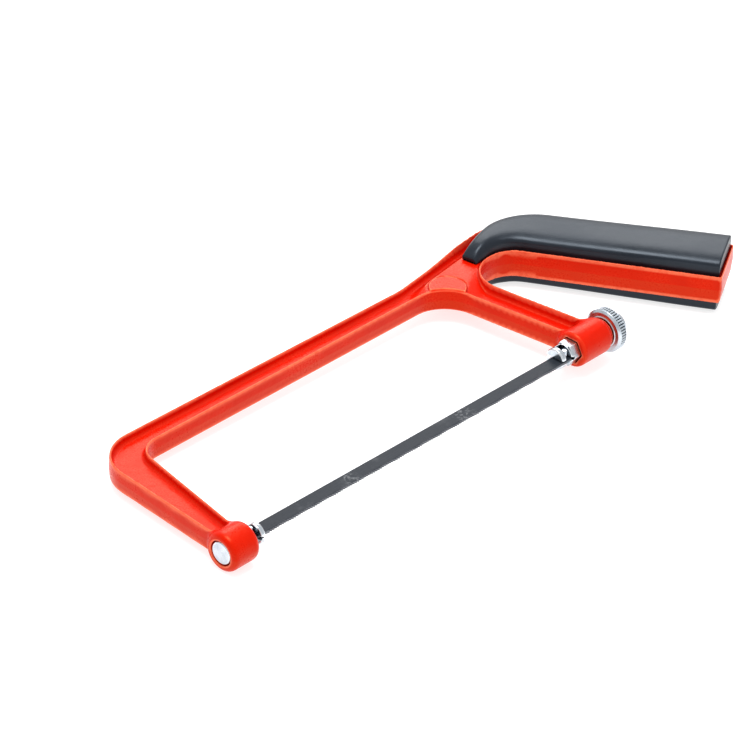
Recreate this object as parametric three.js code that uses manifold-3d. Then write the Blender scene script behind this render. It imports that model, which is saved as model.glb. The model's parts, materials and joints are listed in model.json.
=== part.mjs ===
// Junior hacksaw: a die-cast I-beam frame with a screwed-on two-shell grip. It holds a short pin-end blade
// between a headed holder at the toe and a threaded holder that a knurled knob pulls tight.
// Millimetres. The saw lies on its side: +X runs along the blade from the toe to the handle,
// +Y from the blade to the back of the frame, +Z across the frame's thickness.
// Until the last lines x = 0 is the front blade pin and y = z = 0 is the axis of the two bosses.
import * as THREE from 'three';
import { mergeVertices } from 'three/addons/utils/BufferGeometryUtils.js';
import Module from 'manifold-3d';

const wasm = await Module();
wasm.setup();

// ---- driving dimensions ----
const PIN_SPACING = 150; // between the blade's two cross pins
const GAP = 0.3; // left between pieces that touch

const BEAM_HALF = 4.1; // half thickness of the arms and the spine
const HANDLE_HALF = 5.7; // half thickness of the handle's flanges
const WEB_HALF = 1.1; // half thickness of the web between the flanges
const DRAFT = 0.35; // how far the cast sides lean in from the parting line
const RIM = 1.4; // width of the flange edges round each recess
const RAMP_START = 152; // the frame thickens to the handle between these two x
const RAMP_END = 177;

const SPINE_INNER = 55.65; // the edge of the spine over the throat
const HANDLE_ANGLE = THREE.MathUtils.degToRad(-58.3); // direction of the handle, from +X

const FRONT_BOSS = { start: -13.45, end: -2, radius: 6.8 };
const REAR_BOSS = { start: 155.4, neck: 170.7, end: 172, radius: 6.63, neckRadius: 5.5 };

const HOOK_RADIUS = { front: 3.6, rear: 3.95 };
const HOOK_NOSE = 3.3; // from a pin's centre to the end face of its holder
const NOTCH_WIDTH = 2.6;
const NOTCH_FLOOR = 1.6; // y of the bottom of the notches, which open towards the teeth
const SLOT_WIDTH = 1.2; // slot for the blade along each holder
const HEAD = { radius: 4.1, length: 2.8, chamfer: 0.45 };
const HEX_FLATS = 8;
const HEX_END = 163.4;
const THREAD_RADIUS = 3;
const THREAD_END = 181.6;

const KNOB = { start: 172.4, end: 176.7, radius: 8.1, hubRadius: 4.5, hubEnd: 180.6 };

const BLADE = { width: 5.65, thickness: 0.65, overhang: 1.7, pitch: 1.06, toothDepth: 0.55 };
const BLADE_Y = { front: 0.45, rear: -1.6 }; // where each pin sits in its notch
const PIN = { radius: 1, halfLength: 3.2 };

const COVER = { seat: 4.4, side: 7.4, top: 10.3, swell: 0.8, wall: 2 };
const SCREW_POINTS = [new THREE.Vector2(198.5, 50.5), new THREE.Vector2(229.6, 1.8)];
const SCREW = { shank: 1.45, head: 3.1, headHeight: 2.2, tip: 6.6 };
const POST_RADIUS = 4;

const paint = { color: 0xe2260f, roughness: 0.32, metalness: 0 };
const gripPlastic = { color: 0x2f3135, roughness: 0.55, metalness: 0 };
const zinc = { color: 0xc9ced3, roughness: 0.28, metalness: 1 };
const bladeSteel = { color: 0x3b3d44, roughness: 0.45, metalness: 0.6 };
const blackSteel = { color: 0x26272a, roughness: 0.4, metalness: 0.8 };

// ---- solids ----
function signedVolume(position, index) {
  const [a, b, c] = [new THREE.Vector3(), new THREE.Vector3(), new THREE.Vector3()];
  let sum = 0;
  for (let i = 0; i < index.length; i += 3) {
    a.fromBufferAttribute(position, index[i]);
    b.fromBufferAttribute(position, index[i + 1]);
    c.fromBufferAttribute(position, index[i + 2]);
    sum += a.dot(b.cross(c)) / 6;
  }
  return sum;
}

// A closed three.js geometry as a solid: corners merged, collapsed triangles dropped, faces turned outwards.
function solid(geometry) {
  geometry.deleteAttribute('normal');
  geometry.deleteAttribute('uv');
  const merged = mergeVertices(geometry, 1e-4);
  const kept = [];
  for (let i = 0; i < merged.index.count; i += 3) {
    const [a, b, c] = [0, 1, 2].map((k) => merged.index.getX(i + k));
    if (a !== b && b !== c && c !== a) kept.push(a, b, c);
  }
  const outward = signedVolume(merged.attributes.position, kept) > 0;
  return new wasm.Manifold(new wasm.Mesh({
    numProp: 3,
    vertProperties: new Float32Array(merged.attributes.position.array),
    triVerts: new Uint32Array(outward ? kept : kept.reverse()),
  }));
}

// A named mesh of a solid in its own material.
function mesh(name, body, look) {
  const { vertProperties, triVerts } = body.getMesh();
  const geometry = new THREE.BufferGeometry();
  geometry.setAttribute('position', new THREE.BufferAttribute(new Float32Array(vertProperties), 3));
  geometry.setIndex(new THREE.BufferAttribute(new Uint32Array(triVerts), 1));
  geometry.computeVertexNormals();
  const piece = new THREE.Mesh(geometry, new THREE.MeshStandardMaterial(look));
  piece.name = name;
  return piece;
}

// Skins a row of closed rings with equal numbers of points and closes both ends.
// flatten gives a ring's points in the plane of the end caps.
function loft(rings, flatten) {
  const count = rings[0].length;
  const points = rings.flat();
  const index = [];
  for (let r = 0; r + 1 < rings.length; r += 1) {
    for (let i = 0; i < count; i += 1) {
      const [a, b] = [r * count + i, r * count + ((i + 1) % count)];
      index.push(a, b, b + count, a, b + count, a + count);
    }
  }
  const cap = (ring) => THREE.ShapeUtils.triangulateShape(ring.map(flatten), []);
  const wind = THREE.ShapeUtils.isClockWise(rings[0].map(flatten)) ? -1 : 1;
  const last = (rings.length - 1) * count;
  for (const [a, b, c] of cap(rings[0])) index.push(...(wind > 0 ? [a, c, b] : [a, b, c]));
  for (const [a, b, c] of cap(rings.at(-1))) {
    index.push(...(wind > 0 ? [last + a, last + b, last + c] : [last + a, last + c, last + b]));
  }
  const geometry = new THREE.BufferGeometry().setFromPoints(points);
  geometry.setIndex(index);
  return solid(geometry);
}

// Turned about the X axis from [x, radius] pairs.
function turned(profile, segments = 48) {
  const points = profile.map(([x, radius]) => new THREE.Vector2(radius, x));
  return solid(new THREE.LatheGeometry(points, segments).rotateZ(-Math.PI / 2));
}

function block(low, high) {
  const size = high.map((value, i) => value - low[i]);
  const middle = high.map((value, i) => (value + low[i]) / 2);
  return solid(new THREE.BoxGeometry(...size).translate(...middle));
}

// A round bar across the frame, along Z.
function post(point, radius, low, high, segments = 24) {
  const bar = new THREE.CylinderGeometry(radius, radius, high - low, segments).rotateX(Math.PI / 2);
  return solid(bar.translate(point.x, point.y, (low + high) / 2));
}

// A hexagonal bar along X with flats facing up and down.
function hexBar(flats, start, end) {
  const radius = flats / Math.sqrt(3);
  const bar = new THREE.CylinderGeometry(radius, radius, end - start, 6).rotateZ(Math.PI / 2);
  return solid(bar.rotateX(Math.PI / 6 + Math.PI / 3).translate((start + end) / 2, 0, 0));
}

// ---- outlines ----
// Points round one corner [x, y, radius] of an outline whose edges arrive along d1 and leave along d2.
function cornerArc([x, y], radius, d1, d2, steps) {
  const turn = Math.atan2(d1.cross(d2), d1.dot(d2));
  const reach = radius * Math.abs(Math.tan(turn / 2));
  const start = new THREE.Vector2(x - d1.x * reach, y - d1.y * reach);
  const side = Math.sign(turn);
  const centre = start.clone().add(new THREE.Vector2(-d1.y * side * radius, d1.x * side * radius));
  const arm = start.clone().sub(centre);
  return Array.from({ length: steps + 1 }, (_, i) =>
    arm.clone().rotateAround(new THREE.Vector2(), (turn * i) / steps).add(centre));
}

// A closed counter-clockwise outline of rounded corners, moved inwards by inset all round.
function outline(corners, inset = 0) {
  const count = corners.length;
  const heading = corners.map(([x, y], i) => {
    const [nx, ny] = corners[(i + 1) % count];
    return new THREE.Vector2(nx - x, ny - y).normalize();
  });
  return corners.flatMap(([x, y, radius], i) => {
    const [d1, d2] = [heading[(i + count - 1) % count], heading[i]];
    const turn = Math.atan2(d1.cross(d2), d1.dot(d2));
    // the corner slides along its bisector so that both edges move in by inset
    const slide = inset / Math.cos(turn / 2);
    const bisector = new THREE.Vector2(-(d1.y + d2.y), d1.x + d2.x).normalize().multiplyScalar(slide);
    const rounded = Math.max(radius - Math.sign(turn) * inset, 0.15);
    const steps = radius < 2 ? 3 : Math.max(4, Math.ceil((Math.abs(turn) * Math.sqrt(radius)) / 0.55));
    return cornerArc([x + bisector.x, y + bisector.y], rounded, d1, d2, steps);
  });
}

// Stacks an outline at several heights: layers are [z, inset] from the lowest up.
function stacked(corners, layers) {
  const rings = layers.map(([z, inset]) =>
    outline(corners, inset).map((p) => new THREE.Vector3(p.x, p.y, z)));
  return loft(rings, (p) => new THREE.Vector2(p.x, p.y));
}

// Straight edges that several outlines share, as x or y at a place along them.
const toeEdge = (y) => -11.45 + 0.033 * (y - 5);
const frontArmInner = (y) => -3.15 + 0.148 * (y - 4);
const rearArmFront = (y) => 152.35 + 0.1432 * (41.8 - y);
const rearArmRear = (y) => 162.8 + 0.1314 * (42.8 - y);
const spineBack = (x) => 64.9 - 0.0086 * x;
const BACK_BEND = 136.5; // where the spine's back edge turns up towards the handle
const backEdge = (x) => spineBack(BACK_BEND) + 0.148 * (x - BACK_BEND);
const along = new THREE.Vector2(Math.cos(HANDLE_ANGLE), Math.sin(HANDLE_ANGLE));
const across = new THREE.Vector2(-along.y, along.x);
const NEAR_END = new THREE.Vector2(224.4, -12.3); // the handle's end corner beside the finger gap
const FAR_END = new THREE.Vector2(247, -0.5);
// the point where a line along the handle through p crosses the height y
const onHandleLine = (p, y) => p.x + ((y - p.y) * along.x) / along.y;

const ARCH_Y = 54.9; // top of the finger gap
const CREST = [202.1, 72.2]; // where the back of the frame turns into the handle's far edge

const FRAME_OUTLINE = [
  [toeEdge(65), spineBack(-9.5), 16],
  [toeEdge(-3), -3, 0.5],
  [frontArmInner(-3), -3, 0.5],
  [frontArmInner(SPINE_INNER), SPINE_INNER, 8.5],
  [rearArmFront(SPINE_INNER), SPINE_INNER, 13.5],
  [rearArmFront(-3), -3, 0.5],
  [rearArmRear(-3), -3, 0.5],
  [rearArmRear(ARCH_Y), ARCH_Y, 12],
  [onHandleLine(NEAR_END, ARCH_Y), ARCH_Y, 12],
  [NEAR_END.x, NEAR_END.y, 0.8],
  [FAR_END.x, FAR_END.y, 0.8],
  [...CREST, 30],
  [172, backEdge(172), 60],
  [BACK_BEND, spineBack(BACK_BEND), 40],
];

// The long recess: up the front arm, along the spine and on under the back edge of the junction.
const CHANNEL = 5.4; // width between the rims of the spine
const SPINE_RECESS = [
  [toeEdge(65) + RIM, spineBack(-9.5) - RIM, 16 - RIM],
  [toeEdge(3) + RIM, 3, 0.5],
  [frontArmInner(3) - RIM, 3, 0.5],
  [frontArmInner(SPINE_INNER) - RIM, SPINE_INNER + RIM, 8.5 + RIM],
  [BACK_BEND, SPINE_INNER + RIM, 30],
  [178, backEdge(178) - RIM - CHANNEL, 1],
  [181, backEdge(181) - RIM, 1],
  [BACK_BEND, spineBack(BACK_BEND) - RIM, 40],
];

// The rear arm's recess, whose upper end slants along the foot of the junction.
const REAR_ARM_RECESS = [
  [rearArmFront(3) + RIM, 3, 0.5],
  [rearArmRear(3) - RIM, 3, 0.5],
  [rearArmRear(52) - RIM + 0.6, 52, 1.4],
  [rearArmFront(45.8) + RIM, 45.8, 2.4],
];

// The handle's recess, hidden by the covers.
const HANDLE_RECESS = (() => {
  const nearStart = NEAR_END.clone().addScaledVector(across, 3.6).addScaledVector(along, -4);
  const farStart = FAR_END.clone().addScaledVector(across, -3.6).addScaledVector(along, -4);
  return [
    [onHandleLine(nearStart, 53.5), 53.5, 6],
    [nearStart.x, nearStart.y, 2],
    [farStart.x, farStart.y, 2],
    [onHandleLine(farStart, 59), 59, 8],
  ];
})();

const FRAME_LAYERS = [[-HANDLE_HALF, DRAFT], [0, 0], [HANDLE_HALF, DRAFT]];

// A cutter for a recess in both faces, with leaning sides and a filleted foot.
function recess(corners, webHalf = WEB_HALF) {
  const steps = [[webHalf, 1.5], [webHalf + 0.2, 0.95], [webHalf + 0.7, 0.45], [HANDLE_HALF + 1, -0.2]];
  const upper = stacked(corners, steps);
  const lower = stacked(corners, steps.map(([z, inset]) => [-z, inset]).reverse());
  return upper.add(lower);
}

// The side view of the frame's thickness, which grows from the arms to the handle.
function thicknessBlank() {
  const steps = 10;
  const ramp = Array.from({ length: steps + 1 }, (_, i) => {
    const t = i / steps;
    const ease = t * t * (3 - 2 * t);
    return [RAMP_START + (RAMP_END - RAMP_START) * t, BEAM_HALF + (HANDLE_HALF - BEAM_HALF) * ease];
  });
  const top = [[-30, BEAM_HALF], ...ramp, [260, HANDLE_HALF]];
  const points = [...top, ...top.map(([x, z]) => [x, -z]).reverse()];
  const shape = new THREE.Shape(points.map(([x, z]) => new THREE.Vector2(x, z)));
  const blank = new THREE.ExtrudeGeometry(shape, { depth: 130, bevelEnabled: false });
  return solid(blank.rotateX(Math.PI / 2).translate(0, 100, 0));
}

// A boss about the X axis with a rounded front rim, and a narrower neck behind it if it has one.
function boss({ start, end, radius, neck = end, neckRadius }, frontRound, rearChamfer) {
  const steps = 5;
  const rounded = Array.from({ length: steps + 1 }, (_, i) => {
    const angle = (Math.PI / 2) * (i / steps);
    const [back, drop] = [1 - Math.sin(angle), 1 - Math.cos(angle)];
    return [start + frontRound * back, radius - frontRound * drop];
  }).reverse();
  const rear = [[neck - rearChamfer, radius], [neck, radius - rearChamfer]];
  if (neckRadius) rear.push([neck, neckRadius], [end, neckRadius]);
  rear.push([end, 0]);
  return turned([[start, 0], ...rounded, ...rear], 56);
}

// ---- grip covers ----
const COVER_INSET = 2; // from the handle's near edge to a cover
const nearRidge = NEAR_END.clone().addScaledVector(across, COVER_INSET);
const coverNear = [
  [168.9, ARCH_Y + 1.1],
  [onHandleLine(nearRidge, ARCH_Y + 1.6), ARCH_Y + 1.6],
  nearRidge.clone().addScaledVector(along, -1.4).toArray(),
];
const coverFar = [
  [168, 62.2],
  [200.1, 70.4],
  FAR_END.clone().addScaledVector(across, -1).addScaledVector(along, -1.4).toArray(),
];

// One long edge of a cover: two straight runs joined by an arc, read by the fraction of its length.
function edgePath([start, corner, end], radius) {
  const d1 = new THREE.Vector2(corner[0] - start[0], corner[1] - start[1]).normalize();
  const d2 = new THREE.Vector2(end[0] - corner[0], end[1] - corner[1]).normalize();
  const bend = cornerArc(corner, radius, d1, d2, 14);
  return new THREE.Path([new THREE.Vector2(...start), ...bend, new THREE.Vector2(...end)]);
}

const NEAR_EDGE = edgePath(coverNear, 13.4);
const FAR_EDGE = edgePath(coverFar, 24);
// where the bend is along each edge, and along the cover
const BEND_AT = { near: 0.26, far: 0.42, station: 0.42 };
const edgeFraction = (t, bend) => (t < BEND_AT.station
  ? (t / BEND_AT.station) * bend
  : bend + ((t - BEND_AT.station) / (1 - BEND_AT.station)) * (1 - bend));

// A cross-section of a cover at t from its front tip to its end, all its walls moved in by inset.
function coverSection(t, inset, side) {
  const near = NEAR_EDGE.getPointAt(edgeFraction(t, BEND_AT.near));
  const far = FAR_EDGE.getPointAt(edgeFraction(t, BEND_AT.far));
  const span = far.clone().sub(near);
  const width = span.length();
  span.normalize();
  // the tip is a low dome, and the side along the finger gap stands up further back than the rest
  const crownRise = 1 - 0.72 * Math.max(0, 1 - t / 0.2) ** 4;
  const nearRise = 0.12 + 0.88 * THREE.MathUtils.smoothstep(t, 0, 0.2);
  const farRise = Math.max(nearRise, crownRise);
  const swell = COVER.swell * THREE.MathUtils.smoothstep(t, 0.4, 1);
  const top = COVER.seat + (COVER.top + swell - COVER.seat) * crownRise - inset;
  const shoulder = [nearRise, farRise].map((rise) =>
    COVER.seat + (COVER.side + swell - COVER.seat) * rise - inset);
  const foot = inset > 0 ? COVER.seat - 1 : COVER.seat;
  const nearEase = 0.8 + 1.4 * Math.max(0, 1 - t / 0.25);
  const steps = 12;
  const arc = Array.from({ length: steps + 1 }, (_, i) => {
    const angle = Math.PI * (i / steps);
    const spread = Math.sign(Math.cos(angle)) * Math.abs(Math.cos(angle)) ** 0.62;
    const w = width / 2 - (width / 2 - inset) * spread;
    const wall = THREE.MathUtils.lerp(...shoulder, w / width);
    return [w, wall + (top - wall) * Math.sin(angle) ** (2 * i < steps ? nearEase : 0.8)];
  });
  const section = [[inset, foot], ...arc, [width - inset, foot]];
  return section.map(([w, z]) => new THREE.Vector3(near.x + span.x * w, near.y + span.y * w, z * side));
}

function coverLoft(stations, inset, side) {
  const rings = stations.map((t) => coverSection(t, inset, side));
  return loft(rings, (p) => new THREE.Vector2(p.x * across.x + p.y * across.y, p.z));
}

// A shell with screw posts standing on the web; side is +1 for the upper cover and -1 for the lower.
function gripCover(side) {
  const stations = [0, 0.012, 0.026, ...Array.from({ length: 25 }, (_, i) => 0.05 + (0.95 * i) / 24)];
  const hollow = stations.filter((t) => t > 0.1 && t < 0.97);
  let body = coverLoft(stations, 0, side).subtract(coverLoft(hollow, COVER.wall, side));
  const foot = WEB_HALF + 0.2 + GAP;
  const [low, high] = side > 0 ? [foot, 9.5] : [-9.5, -foot];
  for (const point of SCREW_POINTS) body = body.add(post(point, POST_RADIUS, low, high));
  return body;
}

// ---- pieces ----
function frame() {
  const plan = stacked(FRAME_OUTLINE, FRAME_LAYERS);
  const medallion = post(new THREE.Vector2(150.3, 53), 6.9, -BEAM_HALF - 0.3, BEAM_HALF + 0.3, 56);
  const seats = [1, -1].map((side) => {
    const layers = [[BEAM_HALF, -GAP], [HANDLE_HALF + 2, -GAP]];
    return stacked(coverPlan(), side > 0 ? layers : layers.map(([z, i]) => [-z, i]).reverse());
  });
  let body = plan.intersect(thicknessBlank());
  body = body.subtract(recess(SPINE_RECESS)).subtract(recess(REAR_ARM_RECESS));
  body = body.subtract(recess(HANDLE_RECESS, WEB_HALF + 0.2));
  body = body.add(medallion.intersect(plan));
  for (const seat of seats) body = body.subtract(seat);
  for (const point of SCREW_POINTS) body = body.subtract(post(point, SCREW.shank + GAP, -3, 3));
  body = body.add(boss(FRONT_BOSS, 0.9, 0.6)).add(boss(REAR_BOSS, 0.9, 0.9));
  const headBore = HEAD.radius + GAP;
  const shankBore = HOOK_RADIUS.front + GAP;
  const threadBore = THREAD_RADIUS + GAP;
  const headSeat = FRONT_BOSS.start + HEAD.length + GAP;
  body = body.subtract(turned([
    [-20, 0], [-20, headBore], [headSeat, headBore], [headSeat, shankBore], [5, shankBore], [5, 0],
  ]));
  body = body.subtract(hexBar(HEX_FLATS + 2 * GAP, REAR_BOSS.start - 3, HEX_END + 1.2));
  const rearBoss = REAR_BOSS.start;
  return body.subtract(turned([[rearBoss, 0], [rearBoss, threadBore], [180, threadBore], [180, 0]]));
}

// The covers' footprint, for their seats in the frame.
function coverPlan() {
  const [a, b, c] = coverNear;
  const [d, e, f] = coverFar;
  return [[...a, 0.4], [...b, 13.4], [...c, 0.4], [...f, 0.4], [...e, 24], [...d, 0.4]];
}

// The slot along X for the blade and the notch across it for the pin, cut from a holder's hooked end.
function hookCutters(pinX, noseward, reach) {
  const [low, high] = [pinX + noseward * 10, pinX - noseward * reach].sort((a, b) => a - b);
  const slot = block([low, -9, -SLOT_WIDTH / 2], [high, 9, SLOT_WIDTH / 2]);
  const notch = block([pinX - NOTCH_WIDTH / 2, -9, -9], [pinX + NOTCH_WIDTH / 2, NOTCH_FLOOR, 9]);
  return slot.add(notch);
}

function frontHolder() {
  const face = FRONT_BOSS.start + 0.15;
  const { radius, length, chamfer } = HEAD;
  const nose = HOOK_NOSE;
  const shank = HOOK_RADIUS.front;
  const body = turned([
    [face, 0], [face, radius - chamfer], [face + chamfer, radius], [face + length - 0.15, radius],
    [face + length - 0.15, shank], [nose - 0.4, shank], [nose, shank - 0.4], [nose, 0],
  ]);
  return body.subtract(hookCutters(0, 1, 2.7));
}

function rearHolder() {
  const nose = PIN_SPACING - HOOK_NOSE;
  const hook = HOOK_RADIUS.rear;
  const hexStart = PIN_SPACING + NOTCH_WIDTH / 2 + 0.5;
  const round = turned([
    [nose, 0], [nose, hook - 0.4], [nose + 0.4, hook], [hexStart + 0.5, hook], [hexStart + 0.5, 0],
  ]);
  const shank = turned([
    [HEX_END - 0.5, 0], [HEX_END - 0.5, THREAD_RADIUS], [THREAD_END - 0.7, THREAD_RADIUS],
    [THREAD_END, THREAD_RADIUS - 0.7], [THREAD_END, 0],
  ], 32);
  const blank = round.add(hexBar(HEX_FLATS, hexStart, HEX_END)).add(shank);
  return blank.subtract(hookCutters(PIN_SPACING, -1, 2.7));
}

function tensionKnob() {
  const bore = THREAD_RADIUS + GAP;
  const { start, end, radius, hubRadius, hubEnd } = KNOB;
  return turned([
    [start, bore], [start, radius - 1], [start + 0.45, radius - 0.3], [start + 0.8, radius],
    [end - 0.6, radius], [end, radius - 0.6], [end, hubRadius], [hubEnd - 0.5, hubRadius],
    [hubEnd, hubRadius - 0.5], [hubEnd, bore], [start, bore],
  ], 64);
}

// The blade lies along X with its teeth towards -Y, raked to cut towards the toe.
function blade() {
  const { width, thickness, overhang, pitch, toothDepth } = BLADE;
  const [start, end] = [-overhang, PIN_SPACING + overhang];
  const teeth = Math.floor((PIN_SPACING - 12) / pitch);
  const first = 6;
  const points = [new THREE.Vector2(start, -width / 2 + toothDepth / 2)];
  for (let i = 0; i < teeth; i += 1) {
    const x = first + i * pitch;
    points.push(new THREE.Vector2(x, -width / 2), new THREE.Vector2(x, -width / 2 + toothDepth));
  }
  points.push(
    new THREE.Vector2(first + teeth * pitch, -width / 2 + toothDepth / 2),
    new THREE.Vector2(end, -width / 2 + toothDepth / 2),
    new THREE.Vector2(end, width / 2),
    new THREE.Vector2(start, width / 2),
  );
  const shape = new THREE.Shape(points);
  for (const x of [0, PIN_SPACING]) {
    shape.holes.push(new THREE.Path().absarc(x, 0, PIN.radius + GAP, 0, 2 * Math.PI, true));
  }
  const options = { depth: thickness, bevelEnabled: false, curveSegments: 10 };
  return solid(new THREE.ExtrudeGeometry(shape, options).translate(0, 0, -thickness / 2));
}

function crossPin(x) {
  return post(new THREE.Vector2(x, 0), PIN.radius, -PIN.halfLength, PIN.halfLength);
}

// A pan-head screw driven up through the lower cover and the web into the upper cover.
function gripScrew(point) {
  const seat = -(WEB_HALF + 0.2 + GAP + 2 + GAP);
  const { shank, head, headHeight, tip } = SCREW;
  const screw = turned([
    [seat - headHeight, 0], [seat - headHeight, head - 0.8], [seat - headHeight + 0.8, head],
    [seat, head], [seat, shank], [tip - 1.2, shank], [tip, 0.3], [tip, 0],
  ], 24);
  const face = seat - headHeight;
  const bar = block([face - 1, -0.4, -2], [face + 0.9, 0.4, 2]);
  const driver = bar.add(block([face - 1, -2, -0.4], [face + 0.9, 2, 0.4]));
  return screw.subtract(driver).rotate([0, -90, 0]).translate([point.x, point.y, 0]);
}

// Bores for the screws: a pilot hole in the upper cover, a through hole and a head pocket in the lower.
function drillCovers(upper, lower) {
  const seat = -(WEB_HALF + 0.2 + GAP + 2);
  for (const point of SCREW_POINTS) {
    upper = upper.subtract(post(point, SCREW.shank + GAP, 0, SCREW.tip + GAP));
    lower = lower.subtract(post(point, SCREW.shank + GAP, -6, 0));
    lower = lower.subtract(post(point, SCREW.head + GAP, -12, seat));
  }
  return [upper, lower];
}

// ---- assembly ----
const saw = new THREE.Group();
const [upperCover, lowerCover] = drillCovers(gripCover(1), gripCover(-1));
saw.add(mesh('frame', frame(), paint));
saw.add(mesh('upper_grip_cover', upperCover, gripPlastic));
saw.add(mesh('lower_grip_cover', lowerCover, gripPlastic));
saw.add(mesh('front_grip_screw', gripScrew(SCREW_POINTS[0]), blackSteel));
saw.add(mesh('rear_grip_screw', gripScrew(SCREW_POINTS[1]), blackSteel));
saw.add(mesh('front_blade_holder', frontHolder(), zinc));
saw.add(mesh('rear_blade_holder', rearHolder(), zinc));
saw.add(mesh('tension_knob', tensionKnob(), zinc));

const bladeGroup = new THREE.Group();
bladeGroup.add(mesh('saw_blade', blade(), bladeSteel));
bladeGroup.add(mesh('front_blade_pin', crossPin(0), zinc));
bladeGroup.add(mesh('rear_blade_pin', crossPin(PIN_SPACING), zinc));
bladeGroup.position.y = BLADE_Y.front;
bladeGroup.rotation.z = Math.atan2(BLADE_Y.rear - BLADE_Y.front, PIN_SPACING);
saw.add(bladeGroup);

// The origin is the middle of the underside of the whole saw.
const box = new THREE.Box3().setFromObject(saw);
const middle = box.getCenter(new THREE.Vector3());
saw.position.set(-middle.x, -middle.y, -box.min.z);

export default saw;
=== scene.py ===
import json
import math

import bmesh
import bpy
import numpy as np
from mathutils import Matrix, Vector


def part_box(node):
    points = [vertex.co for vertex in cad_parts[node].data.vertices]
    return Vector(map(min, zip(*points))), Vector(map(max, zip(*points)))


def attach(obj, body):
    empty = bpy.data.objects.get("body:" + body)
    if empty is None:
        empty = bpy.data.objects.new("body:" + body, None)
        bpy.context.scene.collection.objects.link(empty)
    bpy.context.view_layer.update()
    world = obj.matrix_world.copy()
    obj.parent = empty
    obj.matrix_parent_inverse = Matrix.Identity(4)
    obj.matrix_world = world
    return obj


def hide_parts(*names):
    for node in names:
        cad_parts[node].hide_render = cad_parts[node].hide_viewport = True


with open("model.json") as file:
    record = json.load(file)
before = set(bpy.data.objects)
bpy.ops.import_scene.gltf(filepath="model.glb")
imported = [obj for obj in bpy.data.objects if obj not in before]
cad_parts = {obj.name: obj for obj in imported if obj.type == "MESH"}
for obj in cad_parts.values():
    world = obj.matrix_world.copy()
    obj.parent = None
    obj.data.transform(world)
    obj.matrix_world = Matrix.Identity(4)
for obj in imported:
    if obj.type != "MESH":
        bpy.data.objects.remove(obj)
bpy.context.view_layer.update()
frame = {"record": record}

# ---- the saw's dimensions, in millimetres, as the CAD part has them ----
# x = 0 is the front blade pin and y = z = 0 the axis of the two bosses.
BEAM_HALF, HANDLE_HALF, WEB_HALF = 4.1, 5.7, 1.1
DRAFT = 0.35
RAMP = (152, 177)
SPINE_INNER, ARCH_Y, BACK_BEND = 55.65, 54.9, 136.5
FRONT_BOSS = dict(start=-13.45, end=-2.0, radius=6.8)
REAR_BOSS = dict(start=155.4, neck=170.7, end=172.0, radius=6.63, neck_radius=5.5)
HOOK = dict(front=3.6, rear=3.95, nose=3.3, notch=2.6, floor=1.6, slot=1.2, reach=2.7)
HEAD = dict(radius=4.1, length=2.8)
HEX = dict(flats=8.0, end=163.4)
THREAD = dict(radius=3.0, end=181.6, pitch=1.0, depth=0.55)
KNOB = dict(start=172.4, end=176.7, radius=8.1, hub=4.5, hub_end=180.6, bore=3.3)
BLADE = dict(width=5.65, thickness=0.65, overhang=1.7, pitch=1.06, depth=0.55, span=150.0)
BLADE_Y = (0.45, -1.6)
PIN = dict(radius=1.0, half=3.2)
COVER = dict(seat=4.4, side=7.4, top=10.3, swell=0.8, inset=2.0)
SCREWS = ((198.5, 50.5), (229.6, 1.8))
SCREW = dict(head=3.1, height=2.2, seat=-3.9)
MEDALLION = (150.3, 53.0, 6.9)
HANDLE_ANGLE = math.radians(-58.3)
ALONG = np.array([math.cos(HANDLE_ANGLE), math.sin(HANDLE_ANGLE)])
ACROSS = np.array([-ALONG[1], ALONG[0]])
NEAR_END, FAR_END, CREST = np.array([224.4, -12.3]), np.array([247.0, -0.5]), (202.1, 72.2)

knob_low, knob_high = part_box("tension_knob")
ORIGIN = np.array([
    knob_low[0] - KNOB["start"] / 1000,
    (knob_low[1] + knob_high[1]) / 2,
    (knob_low[2] + knob_high[2]) / 2,
])


# ---- meshes ----
def piece(name, points, faces, node, material, sharp=None):
    """A mesh of points in millimetres that stands for a CAD node and moves with its body."""
    mesh = bpy.data.meshes.new(name)
    metres = np.asarray(points, float) / 1000 + ORIGIN
    mesh.from_pydata(metres.tolist(), [], [list(map(int, f)) for f in faces])
    mesh.materials.append(material)
    mesh.shade_smooth()
    if sharp is not None:
        mesh.set_sharp_from_angle(angle=math.radians(sharp))
    thing = bpy.data.objects.new(name, mesh)
    bpy.context.scene.collection.objects.link(thing)
    body = next(b for b, nodes in frame["record"]["behaviour"]["bodies"].items() if node in nodes)
    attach(thing, body)
    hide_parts(node)
    return thing


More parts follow.
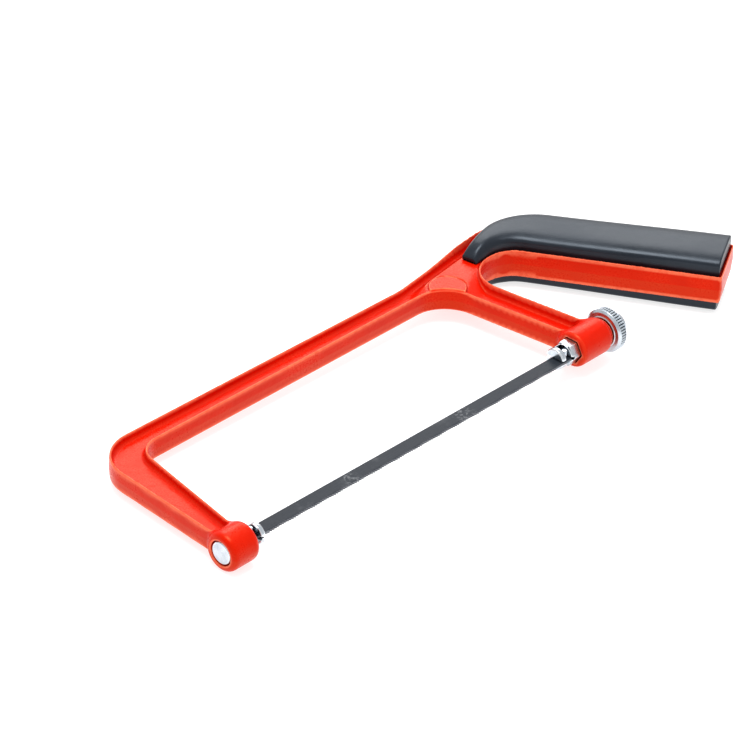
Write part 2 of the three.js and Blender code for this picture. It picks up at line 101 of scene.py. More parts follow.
def surface_nets(field, low, step):
    """Points and quads of the field's zero level. The field is negative inside."""
    inside = field < 0
    shape = np.array(field.shape)
    corners = [np.array((i, j, k)) for i in (0, 1) for j in (0, 1) for k in (0, 1)]
    count = np.zeros(shape - 1, np.int8)
    for c in corners:
        count += inside[tuple(slice(a, n - 1 + a) for a, n in zip(c, shape))]
    cells = np.argwhere((count > 0) & (count < 8))
    values = [field[tuple((cells + c).T)] for c in corners]
    total, hits = np.zeros((len(cells), 3)), np.zeros(len(cells))
    for a, start in enumerate(corners):
        for b, end in enumerate(corners):
            if a < b and np.abs(end - start).sum() == 1:
                crossed = (values[a] < 0) != (values[b] < 0)
                t = values[a] / np.where(crossed, values[a] - values[b], 1)
                total += crossed[:, None] * (start + t[:, None] * (end - start))
                hits += crossed
    points = np.asarray(low) + step * (cells + total / hits[:, None])
    index = np.full(shape - 1, -1, np.int32)
    index[tuple(cells.T)] = np.arange(len(cells))
    quads = []
    for axis in range(3):
        u, v = (axis + 1) % 3, (axis + 2) % 3
        first = np.take(inside, range(shape[axis] - 1), axis)
        edges = np.argwhere(first != np.take(inside, range(1, shape[axis]), axis))
        above_low = (edges[:, u] > 0) & (edges[:, v] > 0)
        edges = edges[above_low & (edges[:, u] < shape[u] - 1) & (edges[:, v] < shape[v] - 1)]
        ring = []
        for du, dv in ((1, 1), (0, 1), (0, 0), (1, 0)):
            cell = edges.copy()
            cell[:, u] -= du
            cell[:, v] -= dv
            ring.append(index[tuple(cell.T)])
        quad = np.stack(ring, 1)
        leaving = inside[tuple(edges.T)]
        quads += [quad[leaving], quad[~leaving][:, ::-1]]
    return points, np.concatenate(quads)


def bend_at(field, low, step, points, reach=0.5):
    """The surface's bend per millimetre at each point: positive on edges, negative in hollows."""
    def read(offset):
        at = (points + offset - np.asarray(low)) / step
        cell = np.clip(np.floor(at).astype(int), 0, np.array(field.shape) - 2)
        t = at - cell
        total = 0
        for c in ((i, j, k) for i in (0, 1) for j in (0, 1) for k in (0, 1)):
            weight = np.prod(np.where(c, t, 1 - t), axis=1)
            total = total + weight * field[tuple((cell + c).T)]
        return total

    steps = np.concatenate([np.eye(3), -np.eye(3)]) * reach
    return (sum(read(s) for s in steps) - 6 * read(np.zeros(3))) / reach**2


def store_bend(made, values):
    bend = made.data.attributes.new("bend", "FLOAT", "POINT")
    bend.data.foreach_set("value", np.asarray(values, np.float32))


def grid(low, high, step):
    """Open coordinate arrays of a box of samples."""
    axes = [np.arange(a, b + step, step, dtype=np.float32) for a, b in zip(low, high)]
    return axes[0][:, None, None], axes[1][None, :, None], axes[2][None, None, :]


def smax(a, b, k):
    """The larger of two distances, rounded over k where they meet."""
    h = np.maximum(k - np.abs(a - b), 0) / k
    return np.maximum(a, b) + h * h * k / 4


def smin(a, b, k):
    return -smax(-a, -b, k)


def smoothstep(t):
    t = np.clip(t, 0, 1)
    return t * t * (3 - 2 * t)


def polygon_distance(x, y, points):
    """Signed distance to a closed outline, negative inside."""
    nearest = np.full(np.broadcast(x, y).shape, 1e9, np.float32)
    inside = np.zeros(nearest.shape, bool)
    for (ax, ay), (bx, by) in zip(points, np.roll(points, -1, 0)):
        ex, ey = bx - ax, by - ay
        t = np.clip(((x - ax) * ex + (y - ay) * ey) / (ex * ex + ey * ey + 1e-12), 0, 1)
        nearest = np.minimum(nearest, (x - ax - t * ex) ** 2 + (y - ay - t * ey) ** 2)
        crosses = (ay > y) != (by > y)
        inside ^= crosses & (x < ex * (y - ay) / (ey if abs(ey) > 1e-9 else 1e-9) + ax)
    return np.sqrt(nearest) * np.where(inside, -1, 1)


def corner_arc(corner, radius, d1, d2, steps):
    turn = math.atan2(d1[0] * d2[1] - d1[1] * d2[0], d1 @ d2)
    start = corner - d1 * radius * abs(math.tan(turn / 2))
    centre = start + np.array([-d1[1], d1[0]]) * math.copysign(radius, turn)
    angles = turn * np.linspace(0, 1, steps + 1)
    arm = start - centre
    return [centre + np.array([
        arm[0] * math.cos(a) - arm[1] * math.sin(a), arm[0] * math.sin(a) + arm[1] * math.cos(a),
    ]) for a in angles]


def rounded_outline(corners):
    """Points of a closed outline given as corners (x, y, radius)."""
    xy = np.array([c[:2] for c in corners], float)
    ahead = np.roll(xy, -1, 0) - xy
    ahead /= np.linalg.norm(ahead, axis=1)[:, None]
    points = []
    for i, (corner, (_, _, radius)) in enumerate(zip(xy, corners)):
        steps = max(3, int(radius * 1.6)) if radius > 2 else 3
        points += corner_arc(corner, radius, ahead[i - 1], ahead[i], steps)
    return np.array(points)


def skin(rings, closed_ends=True):
    """Quads over a row of closed rings, and a face over each end."""
    count = len(rings[0])
    faces = [
        (r * count + i, r * count + (i + 1) % count, (r + 1) * count + (i + 1) % count, (r + 1) * count + i)
        for r in range(len(rings) - 1) for i in range(count)
    ]
    if closed_ends:
        last = (len(rings) - 1) * count
        faces += [tuple(range(count))[::-1], tuple(range(last, last + count))]
    return np.concatenate(rings), faces


# ---- plan of the frame ----
def toe_edge(y):
    return -11.45 + 0.033 * (y - 5)


def front_arm_inner(y):
    return -3.15 + 0.148 * (y - 4)


def rear_arm_front(y):
    return 152.35 + 0.1432 * (41.8 - y)


def rear_arm_rear(y):
    return 162.8 + 0.1314 * (42.8 - y)


def spine_back(x):
    return 64.9 - 0.0086 * x


def back_edge(x):
    return spine_back(BACK_BEND) + 0.148 * (x - BACK_BEND)


def on_handle_line(p, y):
    return p[0] + (y - p[1]) * ALONG[0] / ALONG[1]


OUTLINE = rounded_outline([
    (toe_edge(65), spine_back(-9.5), 16),
    (toe_edge(-3), -3, 0.5),
    (front_arm_inner(-3), -3, 0.5),
    (front_arm_inner(SPINE_INNER), SPINE_INNER, 8.5),
    (rear_arm_front(SPINE_INNER), SPINE_INNER, 13.5),
    (rear_arm_front(-3), -3, 0.5),
    (rear_arm_rear(-3), -3, 0.5),
    (rear_arm_rear(ARCH_Y), ARCH_Y, 12),
    (on_handle_line(NEAR_END, ARCH_Y), ARCH_Y, 12),
    (*NEAR_END, 1.2),
    (*FAR_END, 1.2),
    (*CREST, 30),
    (172, back_edge(172), 60),
    (BACK_BEND, spine_back(BACK_BEND), 40),
])



def plateau(x, y):
    """0 to 1: how far the recess floors have risen to the junction's flat, short of the back wall."""
    from_spine = smoothstep((x - 133.5 - 0.9 * (y - 57)) / 13)
    from_back = smoothstep((back_edge(x) - y - 2.5) / 3.4)
    from_arm = smoothstep((y - 41 - 0.45 * (x - 157)) / 10)
    under_cover = smoothstep((x - 178) / 4)
    return np.maximum(from_spine * from_back * from_arm, under_cover * smoothstep((y - 52) / 2))


# ---- solids drawn as distance fields ----
def round_bar(x, r, start, end, radius, edge):
    """A bar about the X axis with rounded rims."""
    return smax(r - radius, np.maximum(start - x, x - end), edge)


def hex_distance(y, z, flats):
    """Distance to a hexagon with flats facing up and down."""
    return np.maximum(np.abs(z), np.abs(z) / 2 + np.abs(y) * math.sqrt(3) / 2) - flats / 2


def frame_field(x, y, z):
    plan = polygon_distance(x[:, :, 0], y[:, :, 0], OUTLINE)[:, :, None]
    height = np.abs(z)
    top = BEAM_HALF + (HANDLE_HALF - BEAM_HALF) * smoothstep((x - RAMP[0]) / (RAMP[1] - RAMP[0]))
    body = smax(plan + DRAFT * height / HANDLE_HALF, height - top, 0.7)
    flat = np.where(x > 190, 1, plateau(x, y))
    floor = WEB_HALF + (BEAM_HALF - WEB_HALF) * flat
    hollow = smax(1.2 + plan - 0.1 * (height - WEB_HALF), floor - height, 1.5 - 0.8 * flat)
    body = smax(body, -hollow, 0.45)
    disc = np.hypot(x - MEDALLION[0], y - MEDALLION[1])
    badge = smax(disc - MEDALLION[2], height - BEAM_HALF - 0.3, 0.3)
    body = smin(body, smax(badge, plan + 0.9, 0.3), 0.2)
    groove = np.hypot(disc - MEDALLION[2] - 0.25, height - BEAM_HALF) - 0.42
    body = smax(body, -np.maximum(groove, plan + 1.5), 0.15)
    r = np.hypot(y, z)
    front = round_bar(x, r, FRONT_BOSS["start"], FRONT_BOSS["end"], FRONT_BOSS["radius"], 2.2)
    rear = round_bar(x, r, REAR_BOSS["start"], REAR_BOSS["neck"], REAR_BOSS["radius"], 1.6)
    neck = round_bar(x, r, REAR_BOSS["start"] + 2, REAR_BOSS["end"], REAR_BOSS["neck_radius"], 0.5)
    body = smin(smin(body, front, 1.8), rear, 1.8)
    body = smin(body, neck, 0.3)
    seat = FRONT_BOSS["start"] + HEAD["length"] + 0.3
    head_bore = np.maximum(r - HEAD["radius"] - 0.3, x - seat)
    shank_bore = np.maximum(r - HOOK["front"] - 0.3, x - 5)
    hex_bore = np.maximum(hex_distance(y, z, HEX["flats"] + 0.6), np.abs(x - 158.5) - 6.1)
    thread_bore = np.maximum(r - THREAD["radius"] - 0.3, np.abs(x - 165) - 9)
    for bore in (head_bore, shank_bore, hex_bore, thread_bore):
        body = smax(body, -bore, 0.35)
    return body


def hook_cuts(body, x, y, z, pin_x, noseward, reach):
    """The blade's slot and the pin's notch, cut from a holder's hooked end."""
    slot = np.maximum(np.abs(z) - HOOK["slot"] / 2, (pin_x - x) * noseward - reach)
    notch = np.maximum(np.abs(x - pin_x) - HOOK["notch"] / 2, y - HOOK["floor"])
    return smax(smax(body, -slot, 0.25), -notch, 0.25)


def front_holder_field(x, y, z):
    r = np.hypot(y, z)
    face = FRONT_BOSS["start"] + 0.15
    head = round_bar(x, r, face, face + HEAD["length"] - 0.15, HEAD["radius"], 0.9)
    shank = round_bar(x, r, face + 1, HOOK["nose"], HOOK["front"], 0.7)
    return hook_cuts(smin(head, shank, 0.2), x, y, z, 0, 1, HOOK["reach"])


def rear_holder_field(x, y, z):
    r = np.hypot(y, z)
    pin_x = BLADE["span"]
    hex_start = pin_x + HOOK["notch"] / 2 + 0.5
    hook = round_bar(x, r, pin_x - HOOK["nose"], hex_start + 1, HOOK["rear"], 0.7)
    nut = smax(hex_distance(y, z, HEX["flats"]), np.maximum(hex_start - x, x - HEX["end"]), 0.3)
    nut = smax(nut, (r - 4.45 - np.minimum(x - hex_start, HEX["end"] - x) * 1.7) / 2, 0.2)
    turn = x / THREAD["pitch"] - np.arctan2(z, y) / (2 * math.pi)
    ridge = np.abs(turn - np.floor(turn) - 0.5) * 2
    cut = r + THREAD["depth"] * ridge * 0.9
    thread = round_bar(x, cut, HEX["end"] - 1, THREAD["end"], THREAD["radius"], 0.6)
    thread = smax(thread, (r - THREAD["radius"] + 0.9 + x - THREAD["end"]) * 0.7, 0.2)
    return hook_cuts(smin(smin(hook, nut, 0.15), thread, 0.2), x, y, z, pin_x, -1, HOOK["reach"])


def screw_field(x, y, z):
    """A pan head with a cross recess, facing down, at the origin of its own axes."""
    r = np.hypot(x, y)
    head = smax(r - SCREW["head"], np.abs(z - SCREW["seat"] + SCREW["height"] / 2) - SCREW["height"] / 2, 1.4)
    shank = np.maximum(r - 1.45, np.abs(z - 1.2) - 5.3)
    bottom = SCREW["seat"] - SCREW["height"]
    arm = np.minimum(
        np.maximum(np.abs(x) - 0.42, np.abs(y) - 1.9), np.maximum(np.abs(y) - 0.42, np.abs(x) - 1.9),
    )
    recess = np.maximum(smin(arm, r - 0.85, 0.3), z - bottom - 1.3 + 0.3 * r)
    return smax(smin(head, shank, 0.1), -recess, 0.15)


def solid(name, field, low, high, step, node, material, shift=(0, 0, 0)):
    x, y, z = grid(low, high, step)
    values = np.asarray(field(x, y, z), np.float32)
    points, quads = surface_nets(values, low, step)
    made = piece(name, points + np.array(shift), quads, node, material)
    store_bend(made, bend_at(values, low, step, points))
    return made


# ---- lathe work ----
def rounded_profile(corners, steps=4):
    """[x, r, rounding] corners of a profile as points with filleted corners."""
    out = []
    for i, (x, r, fillet) in enumerate(corners):
        p = np.array([x, r], float)
        if fillet == 0 or i in (0, len(corners) - 1):
            out.append(p)
            continue
        d1 = p - np.array(corners[i - 1][:2], float)
        d2 = np.array(corners[i + 1][:2], float) - p
        out += corner_arc(p, fillet, d1 / np.linalg.norm(d1), d2 / np.linalg.norm(d2), steps)
    return out


def knurled_knob(material):
    """The thumb wheel: a straight-knurled rim, turned faces and a plain hub."""
    count, pitch, depth = 576, 48, 0.42
    k = KNOB
    front = rounded_profile([
        (k["start"], k["bore"] + 0.3, 0), (k["start"], 5.6, 0.1), (k["start"] + 0.25, 5.9, 0.2),
        (k["start"] + 0.25, k["radius"] - 0.85, 0.3), (k["start"] + 1.0, k["radius"] - 0.1, 0.15),
        (k["start"] + 1.25, k["radius"] - 0.1, 0),
    ])
    rim = [(x, k["radius"]) for x in np.linspace(k["start"] + 1.3, k["end"] - 0.55, 34)]
    back = rounded_profile([
        (k["end"] - 0.5, k["radius"] - 0.1, 0), (k["end"] - 0.45, k["radius"] - 0.1, 0.05),
        (k["end"], k["radius"] - 0.6, 0.2),
        (k["end"], k["hub"], 0.4), (k["hub_end"], k["hub"], 0.45), (k["hub_end"], k["bore"] + 0.5, 0.1),
        (k["hub_end"] - 0.5, k["bore"], 0.1), (k["start"] + 0.3, k["bore"], 0.1),
        (k["start"], k["bore"] + 0.3, 0),
    ])
    angle = np.arange(count) * 2 * math.pi / count
    rings, bends = [], []
    for x, r in [*front, *rim, *back[:-1]]:
        radius, bend = np.full(count, r), np.zeros(count)
        if r == k["radius"]:
            # Bend values set for the knurl, so that the zinc material paints a highlight on each crest and
            # shade in each groove.
            peak = 1 - np.abs(2 * (pitch * angle / (2 * math.pi) % 1) - 1)
            bend = 2.4 * peak - 1.4
            radius = r - depth * (1 - np.minimum(peak * 1.25, 1))
        bends.append(bend)
        rings.append(np.stack([np.full(count, x), radius * np.cos(angle), radius * np.sin(angle)], 1))
    points, faces = skin(rings, closed_ends=False)
    last = (len(rings) - 1) * count
    faces += [(last + i, last + (i + 1) % count, (i + 1) % count, i) for i in range(count)]
    made = piece("tension_knob_wheel", points, faces, "tension_knob", material, sharp=50)
    store_bend(made, np.concatenate(bends))
    return made


# ---- blade ----
def blade_place(u, v, z):
    """A point of the blade, which hangs a little askew between its pins."""
    angle = math.atan2(BLADE_Y[1] - BLADE_Y[0], BLADE["span"])
    x = u * math.cos(angle) - v * math.sin(angle)
    return (x, BLADE_Y[0] + u * math.sin(angle) + v * math.cos(angle), z)


def toothed_blade(material):
    half, thick, pitch = BLADE["width"] / 2, BLADE["thickness"] / 2, BLADE["pitch"]
    start, end = -BLADE["overhang"], BLADE["span"] + BLADE["overhang"]
    first = 6.0
    teeth = int((BLADE["span"] - 12) / pitch)
    stations = [(start + s, 1.2) for s in (0, 0.08, 0.3, 0.65, 1.2, 2.2, 4, 5.5)]
    for i in range(teeth):
        u = first + i * pitch
        for share, lift in ((0, 0), (0.1, 1), (0.28, 1), (0.62, 0.5)):
            stations.append((u + share * pitch, lift))
    stations += [(end - s, 1.2) for s in (6, 4, 2.2, 1.2, 0.65, 0.3, 0.08, 0)]
    rings = []
    for u, lift in stations:
        inset = 0.0
        for s in (u - start, end - u):
            if s < 1.2:
                inset = 1.2 - math.sqrt(max(0, 1.44 - (1.2 - s) ** 2))
        plain = lift == 1.2
        low = -half + (BLADE["depth"] / 2 if plain else BLADE["depth"] * lift) + inset
        base = max(low, -half + BLADE["depth"] + 0.1 + inset)
        sway = 0 if plain else 0.15 * math.sin(2 * math.pi * u / (9 * pitch)) * (1 - lift)
        edge = 0.09
        high = half - inset
        right = [
            (low, thick * 0.9), (base, thick), (base + 0.5, thick),
            (0, thick), (high - 0.8, thick), (high - edge, thick),
        ]
        ring = [(v, z + (sway if i == 0 else 0)) for i, (v, z) in enumerate(right)]
        ring += [(high, thick - edge), (high, edge - thick)]
        ring += [(v, -z + (sway if i == 5 else 0)) for i, (v, z) in enumerate(right[::-1])]
        rings.append(np.array([blade_place(u, v, z) for v, z in ring]))
    points, faces = skin(rings)
    return piece("toothed_blade", points, faces, "saw_blade", material, sharp=35)


def cross_pin(name, u, node, material):
    r, h = PIN["radius"], PIN["half"]
    profile = rounded_profile([(-h, 0.02, 0), (-h, r, 0.3), (h, r, 0.3), (h, 0.02, 0)], 6)
    cx, cy, _ = blade_place(u, 0, 0)
    angle = np.arange(40) * 2 * math.pi / 40
    rings = [
        np.stack([cx + q * np.cos(angle), cy + q * np.sin(angle), np.full(40, z)], 1) for z, q in profile
    ]
    points, faces = skin(rings)
    return piece(name, points, faces, node, material)


# ---- grip covers ----
def edge_path(start, corner, end, radius):
    """A long edge of a cover by the fraction of its length: two straight runs joined by an arc."""
    start, corner, end = (np.array(p, float) for p in (start, corner, end))
    d1, d2 = corner - start, end - corner
    bend = corner_arc(corner, radius, d1 / np.linalg.norm(d1), d2 / np.linalg.norm(d2), 40)
    points = np.array([start, *bend, end])
    length = np.r_[0, np.cumsum(np.linalg.norm(np.diff(points, axis=0), axis=1))]
    length /= length[-1]
    return lambda t: np.array([np.interp(t, length, points[:, 0]), np.interp(t, length, points[:, 1])])


near_ridge = NEAR_END + ACROSS * COVER["inset"]
seat_y = ARCH_Y + 1.6
near_corner = (on_handle_line(near_ridge, seat_y), seat_y)
NEAR_EDGE = edge_path((168.9, ARCH_Y + 1.1), near_corner, near_ridge - 1.4 * ALONG, 13.4)
FAR_EDGE = edge_path((168, 62.2), (200.1, 70.4), FAR_END - ACROSS - 1.4 * ALONG, 24)
BEND_NEAR, BEND_STATION = 0.26, 0.42


def cover_section(t, inset, side):
    """A closed cross-section of a cover at t from its front tip to its end."""
    if t < BEND_STATION:
        near = NEAR_EDGE(t / BEND_STATION * BEND_NEAR)
    else:
        near = NEAR_EDGE(BEND_NEAR + (t - BEND_STATION) / (1 - BEND_STATION) * (1 - BEND_NEAR))
    far = FAR_EDGE(t)
    span = far - near
    width = np.linalg.norm(span)
    span /= width
    crown_rise = 1 - 0.72 * max(0, 1 - t / 0.2) ** 4
    side_rise = 0.12 + 0.88 * float(smoothstep(t / 0.2))
    swell = COVER["swell"] * float(smoothstep((t - 0.4) / 0.6))
    top = COVER["seat"] + (COVER["top"] + swell - COVER["seat"]) * crown_rise - inset
    rise = [side_rise, max(side_rise, crown_rise)]
    wall = COVER["side"] + swell - COVER["seat"]
    near_shoulder, far_shoulder = (COVER["seat"] + wall * r - inset for r in rise)
    angles = np.linspace(0, math.pi, 45)
    spread = np.sign(np.cos(angles)) * np.abs(np.cos(angles)) ** 0.62
    crown = np.abs(np.sin(angles)) ** np.where(angles < math.pi / 2, 0.8 + 1.4 * max(0, 1 - t / 0.25), 0.8)
    w = width / 2 - (width / 2 - inset) * spread
    shoulder = near_shoulder + (far_shoulder - near_shoulder) * np.clip(w / width, 0, 1)
    z = shoulder + (top - shoulder) * crown
    low = COVER["seat"] + inset * 0.3
    near_foot = [(inset + 0.12, low), (inset, low + 0.12), (inset, (low + near_shoulder) / 2)]
    outer = width - inset
    far_foot = [(outer, (low + far_shoulder) / 2), (outer, low + 0.12), (outer - 0.12, low)]
    section = near_foot + list(zip(w, z)) + far_foot
    return np.array([(*(near + span * a), b * side) for a, b in section])


def grip_cover(name, side, node, material):
    edge = [(0, 0.9), (0, 0.5), (0.0004, 0.27), (0.0014, 0.1), (0.003, 0.02), (0.0066, 0)]
    ends = [(1 - t, inset) for t, inset in edge[::-1]]
    middle = [(t, 0) for t in np.linspace(0.0066, 1 - 0.0066, 110)[1:-1]]
    rings = [cover_section(t, inset, side) for t, inset in edge + middle + ends]
    points, faces = skin(rings)
    if side > 0:
        faces = [f[::-1] for f in faces]
    return piece(name, points, faces, node, material, sharp=40)


def applied(thing):
    """Replaces a piece's mesh with what its modifiers make of it."""
    graph = bpy.context.evaluated_depsgraph_get()
    mesh = bpy.data.meshes.new_from_object(thing.evaluated_get(graph))
    thing.modifiers.clear()
    thing.data = mesh


def bore_screw_pockets(cover):
    for x, y in SCREWS:
        bpy.ops.mesh.primitive_cylinder_add(
            vertices=64, radius=0.0034, depth=0.02,
            location=(ORIGIN + np.array([x, y, SCREW["seat"] + 0.3 - 10]) / 1000).tolist(),
        )
        tool = bpy.context.object
        cut = cover.modifiers.new("pocket", "BOOLEAN")
        cut.operation, cut.solver, cut.object = "DIFFERENCE", "EXACT", tool
        applied(cover)
        bpy.data.objects.remove(tool)
    cover.data.set_sharp_from_angle(angle=math.radians(40))


# ---- materials ----
class Look:
    """A material's node tree with short ways to add to it."""

    def __init__(self, name):
        self.material = bpy.data.materials.new(name)
        self.material.use_nodes = True
        self.tree = self.material.node_tree
        self.shader = self.tree.nodes["Principled BSDF"]
        self.coordinates = self.node("ShaderNodeTexCoord").outputs["Object"]

    def node(self, kind, **settings):
        made = self.tree.nodes.new(kind)
        for key, value in settings.items():
            setattr(made, key, value)
        return made

    def link(self, source, target):
        self.tree.links.new(source, target)

    def set(self, **values):
        for key, value in values.items():
            self.shader.inputs[key.replace("_", " ")].default_value = value

    def stretched(self, scale, location=(0, 0, 0)):
        mapping = self.node("ShaderNodeMapping")
        mapping.inputs["Scale"].default_value = scale
        mapping.inputs["Location"].default_value = location
        self.link(self.coordinates, mapping.inputs["Vector"])
        return mapping.outputs["Vector"]

    def noise(self, scale, detail=2.0, rough=0.5, vector=None):
        made = self.node("ShaderNodeTexNoise")
        made.inputs["Scale"].default_value = scale
        made.inputs["Detail"].default_value = detail
        made.inputs["Roughness"].default_value = rough
        self.link(vector or self.coordinates, made.inputs["Vector"])
        return made.outputs["Fac"]

    def ramp(self, value, low, high, start=0.0, end=1.0):
        """value between low and high, mapped to between start and end."""
        made = self.node("ShaderNodeMapRange", clamp=True)
        for key, number in zip(("From Min", "From Max", "To Min", "To Max"), (low, high, start, end)):
            made.inputs[key].default_value = number
        self.link(value, made.inputs["Value"])
        return made.outputs["Result"]

    def math(self, operation, a, b=0.0, clamp=False):
        made = self.node("ShaderNodeMath", operation=operation, use_clamp=clamp)
        for socket, value in zip(made.inputs, (a, b)):
            if isinstance(value, (int, float)):
                socket.default_value = value
            else:
                self.link(value, socket)
        return made.outputs[0]

    def mix(self, factor, first, second):
        made = self.node("ShaderNodeMix", data_type="RGBA")
        for socket, value in zip((made.inputs[0], made.inputs[6], made.inputs[7]), (factor, first, second)):
            if isinstance(value, tuple):
                socket.default_value = (*value, 1)
            elif isinstance(value, (int, float)):
                socket.default_value = value
            else:
                self.link(value, socket)
        return made.outputs[2]

    def bump(self, height, distance, strength=1.0, normal=None):
        made = self.node("ShaderNodeBump")
        made.inputs["Strength"].default_value = strength
        made.inputs["Distance"].default_value = distance
        self.link(height, made.inputs["Height"])
        if normal:
            self.link(normal, made.inputs["Normal"])
        return made.outputs["Normal"]

    def finish(self, color=None, roughness=None, normal=None):
        for value, key in ((color, "Base Color"), (roughness, "Roughness"), (normal, "Normal")):
            if value is not None:
                self.link(value, self.shader.inputs[key])
        return self.material


def red_paint():
    look = Look("red_enamel")
    look.set(Specular_IOR_Level=0.34, Specular_Tint=(1.0, 0.66, 0.32, 1))
    broad = look.noise(55, 3, 0.6)
    speckle = look.noise(1500, 2, 0.6)
    color = look.mix(look.ramp(broad, 0.35, 0.65), (0.66, 0.0130, 0.0008), (0.59, 0.0085, 0.0005))
    split = look.node("ShaderNodeSeparateXYZ")
    look.link(look.coordinates, split.inputs[0])
    # Painted bounce light: the frame below the bosses' axis is mixed toward a lighter, more orange red,
    # standing in for light thrown up from the table.
    painted_bounce_mask = look.ramp(split.outputs["Z"], float(ORIGIN[2] + 0.0002), float(ORIGIN[2] - 0.0002))
    color = look.mix(look.math("MULTIPLY", painted_bounce_mask, 0.7), color, (0.60, 0.030, 0.006))
    bend = look.node("ShaderNodeAttribute", attribute_name="bend").outputs["Fac"]
    # Painted highlight: convex edges, where the bend is high, are mixed toward a light salmon, broken up by
    # noise, standing in for the light the rounded ridges catch.
    rim = look.ramp(bend, 0.62, 1.5)
    edge = look.math("MULTIPLY", rim, look.ramp(look.noise(420, 4, 0.65), 0.30, 0.55, 0.6, 1))
    color = look.mix(look.math("MULTIPLY", edge, 0.7), color, (0.92, 0.22, 0.12))
    # Painted shade: hollows, where the bend is negative, are mixed toward a deep dark red.
    color = look.mix(look.ramp(bend, -0.25, -1.3, 0, 0.6), color, (0.30, 0.002, 0.0003))
    rough = look.math("ADD", look.ramp(broad, 0.3, 0.7, 0.22, 0.32), look.ramp(speckle, 0.35, 0.7, 0.0, 0.08))
    peel = look.bump(look.noise(620, 2, 0.5), 0.00009)
    return look.finish(color, rough, look.bump(speckle, 0.00002, normal=peel))


def grip_plastic():
    look = Look("charcoal_grip")
    look.set(Specular_IOR_Level=0.46, Specular_Tint=(0.80, 0.90, 1.0, 1))
    broad = look.noise(40, 3, 0.55)
    grain = look.noise(3600, 3, 0.7)
    scuff = look.noise(1, 4, 0.6, look.stretched((260, 1500, 700)))
    color = look.mix(look.ramp(broad, 0.3, 0.7), (0.010, 0.013, 0.019), (0.016, 0.020, 0.028))
    color = look.mix(look.ramp(scuff, 0.66, 0.8, 0, 0.22), color, (0.10, 0.105, 0.115))
    rough = look.math("ADD", look.ramp(broad, 0.3, 0.7, 0.27, 0.36), look.ramp(grain, 0.3, 0.7, -0.05, 0.08))
    return look.finish(color, rough, look.bump(grain, 0.00004, 0.7, look.bump(look.noise(300, 2), 0.00005)))


def zinc_plate():
    look = Look("bright_zinc")
    look.set(Metallic=1.0)
    broad = look.noise(330, 3, 0.6)
    turned = look.noise(1, 3, 0.6, look.stretched((5200, 180, 180)))
    color = look.mix(look.ramp(broad, 0.35, 0.65), (0.62, 0.67, 0.72), (0.48, 0.53, 0.58))
    bend = look.node("ShaderNodeAttribute", attribute_name="bend").outputs["Fac"]
    # Painted shade: hollows and knurl grooves, where the bend is negative, are mixed toward near black.
    color = look.mix(look.ramp(bend, -0.15, -1.0, 0, 0.9), color, (0.07, 0.08, 0.09))
    # Painted highlight: edges and knurl crests, where the bend is high, are mixed toward a pale silver.
    color = look.mix(look.ramp(bend, 0.8, 1.6, 0, 0.5), color, (0.86, 0.88, 0.90))
    rough = look.ramp(turned, 0.3, 0.7, 0.16, 0.34)
    return look.finish(color, rough, look.bump(turned, 0.00003, 0.6))


def blade_steel():
    look = Look("blade_lacquer")
    look.set(Specular_IOR_Level=0.22)
    grind = look.noise(1, 4, 0.65, look.stretched((60, 5200, 900)))
    broad = look.noise(120, 3, 0.6)
    split = look.node("ShaderNodeSeparateXYZ")
    look.link(look.coordinates, split.inputs[0])
    tilt = (BLADE_Y[1] - BLADE_Y[0]) / BLADE["span"]
    level = float(ORIGIN[1] + BLADE_Y[0] / 1000 - ORIGIN[0] * tilt)
    middle = look.math("ADD", look.math("MULTIPLY", split.outputs["X"], tilt), level)
    across = look.math("SUBTRACT", split.outputs["Y"], middle)
    color = look.mix(look.ramp(grind, 0.3, 0.7), (0.014, 0.018, 0.025), (0.030, 0.036, 0.046))
    color = look.mix(look.ramp(broad, 0.62, 0.75, 0, 0.5), color, (0.075, 0.08, 0.09))
    teeth = look.ramp(across, -0.00222, -0.00265)
    color = look.mix(look.math("MULTIPLY", teeth, 0.8), color, (0.20, 0.21, 0.23))
    for place, reach in ((0.045, 0.004), (0.099, 0.005)):
        near = look.math("ABSOLUTE", look.math("SUBTRACT", split.outputs["X"], float(ORIGIN[0] + place)))
        patch = look.ramp(near, reach, 0.001)
        worn = look.math("MULTIPLY", patch, look.ramp(look.noise(900, 3, 0.7), 0.5, 0.6))
        color = look.mix(look.math("MULTIPLY", worn, 0.45), color, (0.26, 0.27, 0.28))
    rough = look.ramp(grind, 0.3, 0.7, 0.34, 0.5)
    return look.finish(color, rough, look.bump(grind, 0.00002, 0.6))


def black_steel():
    look = Look("black_oxide")
    look.set(Metallic=0.9)
    broad = look.noise(700, 3, 0.6)
    color = look.mix(look.ramp(broad, 0.35, 0.65), (0.03, 0.03, 0.032), (0.075, 0.073, 0.072))
    return look.finish(color, look.ramp(broad, 0.3, 0.7, 0.34, 0.5), look.bump(look.noise(2600, 2), 0.00002))


def pale_floor():
    look = Look("pale_table")
    look.set(Emission_Color=(1, 1, 1, 1), Emission_Strength=0.62)
    broad = look.noise(3, 2, 0.5)
    color = look.mix(look.ramp(broad, 0.3, 0.7), (0.46, 0.46, 0.46), (0.44, 0.44, 0.445))
    return look.finish(color, look.ramp(broad, 0.3, 0.7, 0.75, 0.85))


# ---- assembly ----
red, plastic, zinc = red_paint(), grip_plastic(), zinc_plate()
steel, black = blade_steel(), black_steel()

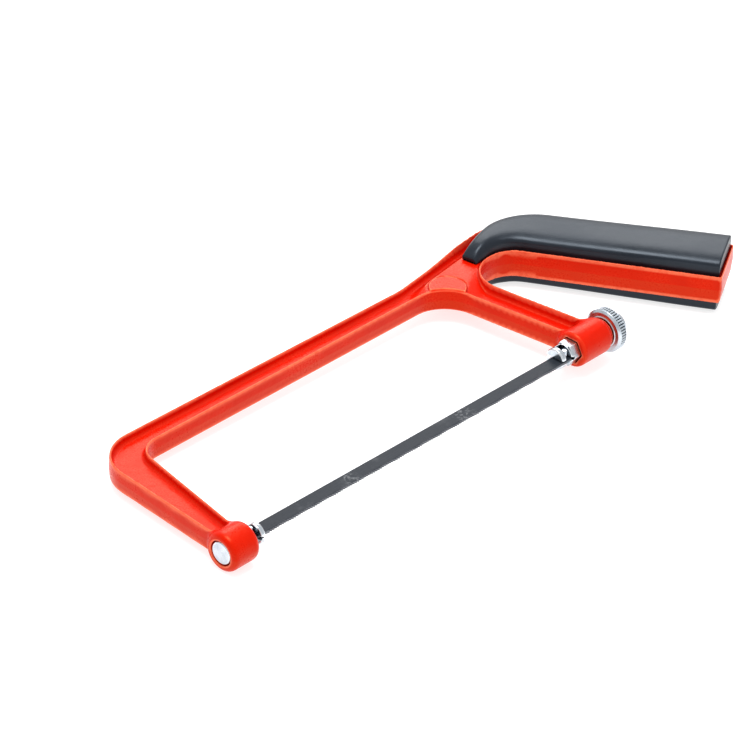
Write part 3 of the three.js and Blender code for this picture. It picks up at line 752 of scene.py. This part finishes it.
solid("cast_frame", frame_field, (-15, -13.5, -7.5), (249, 73, 7.5), 0.36, "frame", red)
grip_cover("upper_grip_shell", 1, "upper_grip_cover", plastic)
lower = grip_cover("lower_grip_shell", -1, "lower_grip_cover", plastic)
bore_screw_pockets(lower)
for side, (x, y) in zip(("front", "rear"), SCREWS):
    low, high = (-3.5, -3.5, -7), (3.5, 3.5, 6.9)
    solid(f"{side}_pan_screw", screw_field, low, high, 0.11, f"{side}_grip_screw", black, (x, y, 0))
low, high = (-14, -4.5, -4.5), (4, 4.5, 4.5)
solid("front_hooked_stud", front_holder_field, low, high, 0.1, "front_blade_holder", zinc)
solid("rear_hooked_stud", rear_holder_field, (146, -5, -5), (182.2, 5, 5), 0.11, "rear_blade_holder", zinc)
knurled_knob(zinc)
toothed_blade(steel)
cross_pin("front_cross_pin", 0, "front_blade_pin", zinc)
cross_pin("rear_cross_pin", BLADE["span"], "rear_blade_pin", zinc)


# ---- floor, light and camera ----
def place(x, y, z):
    return Vector((ORIGIN + np.array([x, y, z]) / 1000).tolist())


def table_top():
    """The saw lies on the toe's boss and the grip, so the table leans a little against its plane."""
    toe = place(-8, 0, -FRONT_BOSS["radius"] - 0.03)
    end = place(236, 0, -COVER["top"] - COVER["swell"] - 0.03)
    angle = math.atan2(toe.z - end.z, end.x - toe.x)
    bpy.ops.mesh.primitive_grid_add(x_subdivisions=8, y_subdivisions=8, size=6)
    floor = bpy.context.object
    floor.name = "table"
    floor.rotation_euler = (0, angle, 0)
    floor.location = toe
    floor.data.materials.append(pale_floor())


def softbox(name, spot, aim, size, energy, color=(1, 1, 1)):
    data = bpy.data.lights.new(name, "AREA")
    data.shape, data.size, data.size_y = "RECTANGLE", *size
    data.energy, data.color = energy, color
    lamp = bpy.data.objects.new(name, data)
    lamp.location = spot
    lamp.rotation_euler = (Vector(aim) - Vector(spot)).to_track_quat("-Z", "Y").to_euler()
    bpy.context.scene.collection.objects.link(lamp)


def studio():
    world = bpy.data.worlds.new("studio")
    bpy.context.scene.world = world
    world.use_nodes = True
    sky = world.node_tree.nodes["Background"]
    sky.inputs["Color"].default_value = (1, 1, 1, 1)
    sky.inputs["Strength"].default_value = 0.7
    softbox("overhead", (0.0, 0.05, 0.95), (0, 0, 0), (0.5, 0.5), 6.5)
    softbox("back", (0.85, 0.78, 0.75), (0, 0, 0), (0.9, 0.6), 4.2)
    view = bpy.context.scene.view_settings
    view.view_transform, view.look, view.exposure = "Standard", "Medium High Contrast", 0.0


def camera():
    """The viewpoint, found from the saw's perspective. Rows are the camera's right, down and forward."""
    axes = np.array([
        (0.68727317, -0.72566456, 0.03265788),
        (-0.37908965, -0.39665881, -0.83603399),
        (0.61963427, 0.56220347, -0.54770488),
    ])
    focal, side = 3000.8, 736
    data = bpy.data.cameras.new("camera")
    data.sensor_width = 36
    data.lens = focal / side * data.sensor_width
    data.shift_x, data.shift_y = -0.5 / side, 0.5 / side
    data.clip_start, data.clip_end = 0.05, 20
    view = bpy.data.objects.new("camera", data)
    turn = Matrix(np.stack([axes[0], -axes[1], -axes[2]], 1).tolist()).to_4x4()
    view.matrix_world = Matrix.Translation(place(-538.25, -535.43, 561.0)) @ turn
    bpy.context.scene.collection.objects.link(view)
    bpy.context.scene.camera = view


table_top()
studio()
camera()
